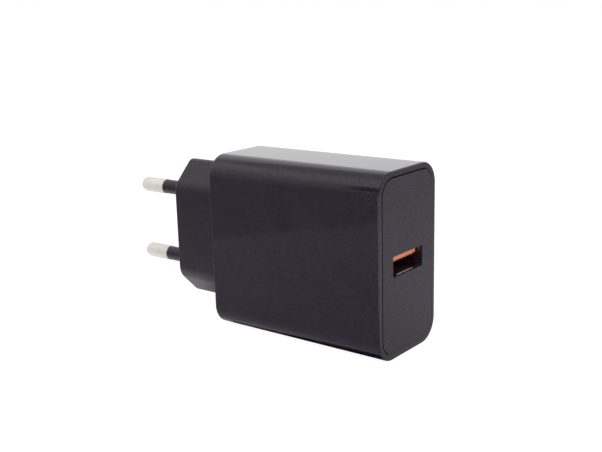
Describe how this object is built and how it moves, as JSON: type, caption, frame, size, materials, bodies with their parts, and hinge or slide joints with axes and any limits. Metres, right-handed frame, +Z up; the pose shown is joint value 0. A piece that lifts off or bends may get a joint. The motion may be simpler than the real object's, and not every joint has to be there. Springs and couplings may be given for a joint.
{
  "type": "usb wall charger",
  "caption": "Plug-in USB wall charger: an upright glossy block with round plug pins at its back and a USB port in a flat front panel.",
  "frame": {"origin": "centre of the plug's engagement face, midway between the two pins", "axes": "+X out of the wall towards the USB port, +Y across the charger's thickness, +Z up along the row of pins"},
  "size_m": [0.085, 0.024, 0.0432],
  "materials": {
    "gloss_black": "polished",
    "satin_black": "fine satin texture",
    "nickel": "nickel plated",
    "sleeve_black": "satin",
    "brown_wire": "smooth",
    "blue_wire": "smooth",
    "board_green": "solder mask",
    "clear_film": "smooth",
    "can": "shrunk sleeve",
    "metal_can": "satin",
    "black_resin": "moulded",
    "green_resin": "dipped",
    "blue_resin": "dipped",
    "orange_resin": "moulded",
    "ferrite": "matt",
    "yellow_tape": "tape",
    "copper": "enamelled",
    "aluminium": "rolled",
    "steel": "nickel plated",
    "gold": "gold flashed"
  },
  "bodies": {
    "charger": {"housing": "gloss_black", "front_panel": "satin_black", "plug_base": "satin_black", "pin_upper": "nickel", "pin_lower": "nickel", "pin_sleeve_upper": "sleeve_black", "pin_sleeve_lower": "sleeve_black", "live_wire": "brown_wire", "neutral_wire": "blue_wire", "circuit_board": "board_green", "insulating_film": "clear_film", "bulk_capacitor_upper": "can", "bulk_capacitor_lower": "can", "output_capacitor_upper": "metal_can", "output_capacitor_lower": "metal_can", "transformer_core_upper": "ferrite", "transformer_core_lower": "ferrite", "transformer_bobbin": "black_resin", "transformer_winding": "yellow_tape", "choke_core": "ferrite", "choke_winding_upper": "copper", "choke_winding_lower": "copper", "fuse": "black_resin", "bridge_rectifier": "black_resin", "switching_transistor": "black_resin", "heat_sink": "aluminium", "opto_coupler": "black_resin", "inrush_limiter": "green_resin", "safety_capacitor": "blue_resin", "filter_choke": "ferrite", "output_choke": "ferrite", "controller_chip": "black_resin", "rectifier_chip": "black_resin", "protocol_chip": "black_resin", "usb_shell": "steel", "usb_insulator": "orange_resin", "usb_contact_tail_1": "gold", "usb_contact_tail_2": "gold", "usb_contact_tail_3": "gold", "usb_contact_tail_4": "gold"},
    "contact_1": {"usb_contact_1": "gold"},
    "contact_2": {"usb_contact_2": "gold"},
    "contact_3": {"usb_contact_3": "gold"},
    "contact_4": {"usb_contact_4": "gold"},
    "spring_upper_left": {"usb_spring_upper_left": "steel"},
    "spring_upper_right": {"usb_spring_upper_right": "steel"},
    "spring_lower_left": {"usb_spring_lower_left": "steel"},
    "spring_lower_right": {"usb_spring_lower_right": "steel"}
  },
  "joints": [
    {"name": "contact_flex_1", "type": "hinge", "parent": "charger", "child": "contact_1", "pos_m": [0.05565, -0.0035, 0.00046], "axis": [0, -1, 0], "range_deg": [0, 4.5], "stiffness_Nm_per_rad": 0.0001},
    {"name": "contact_flex_2", "type": "hinge", "parent": "charger", "child": "contact_2", "pos_m": [0.05565, -0.001, 0.00046], "axis": [0, -1, 0], "range_deg": [0, 4.5], "stiffness_Nm_per_rad": 0.0001},
    {"name": "contact_flex_3", "type": "hinge", "parent": "charger", "child": "contact_3", "pos_m": [0.05565, 0.001, 0.00046], "axis": [0, -1, 0], "range_deg": [0, 4.5], "stiffness_Nm_per_rad": 0.0001},
    {"name": "contact_flex_4", "type": "hinge", "parent": "charger", "child": "contact_4", "pos_m": [0.05565, 0.0035, 0.00046], "axis": [0, -1, 0], "range_deg": [0, 4.5], "stiffness_Nm_per_rad": 0.0001},
    {"name": "spring_flex_upper_left", "type": "hinge", "parent": "charger", "child": "spring_upper_left", "pos_m": [0.0627, -0.0032, 0.0027], "axis": [0, 1, 0], "range_deg": [0, 3], "stiffness_Nm_per_rad": 0.0001},
    {"name": "spring_flex_upper_right", "type": "hinge", "parent": "charger", "child": "spring_upper_right", "pos_m": [0.0627, 0.0032, 0.0027], "axis": [0, 1, 0], "range_deg": [0, 3], "stiffness_Nm_per_rad": 0.0001},
    {"name": "spring_flex_lower_left", "type": "hinge", "parent": "charger", "child": "spring_lower_left", "pos_m": [0.0627, -0.0032, -0.0027], "axis": [0, -1, 0], "range_deg": [0, 3], "stiffness_Nm_per_rad": 0.0001},
    {"name": "spring_flex_lower_right", "type": "hinge", "parent": "charger", "child": "spring_lower_right", "pos_m": [0.0627, 0.0032, -0.0027], "axis": [0, -1, 0], "range_deg": [0, 3], "stiffness_Nm_per_rad": 0.0001}
  ],
  "couplings": [
    {"joint": "contact_flex_2", "follows": "contact_flex_1", "ratio": 1},
    {"joint": "contact_flex_3", "follows": "contact_flex_1", "ratio": 1},
    {"joint": "contact_flex_4", "follows": "contact_flex_1", "ratio": 1},
    {"joint": "spring_flex_upper_right", "follows": "spring_flex_upper_left", "ratio": 1},
    {"joint": "spring_flex_lower_left", "follows": "spring_flex_upper_left", "ratio": 1},
    {"joint": "spring_flex_lower_right", "follows": "spring_flex_upper_left", "ratio": 1}
  ]
}
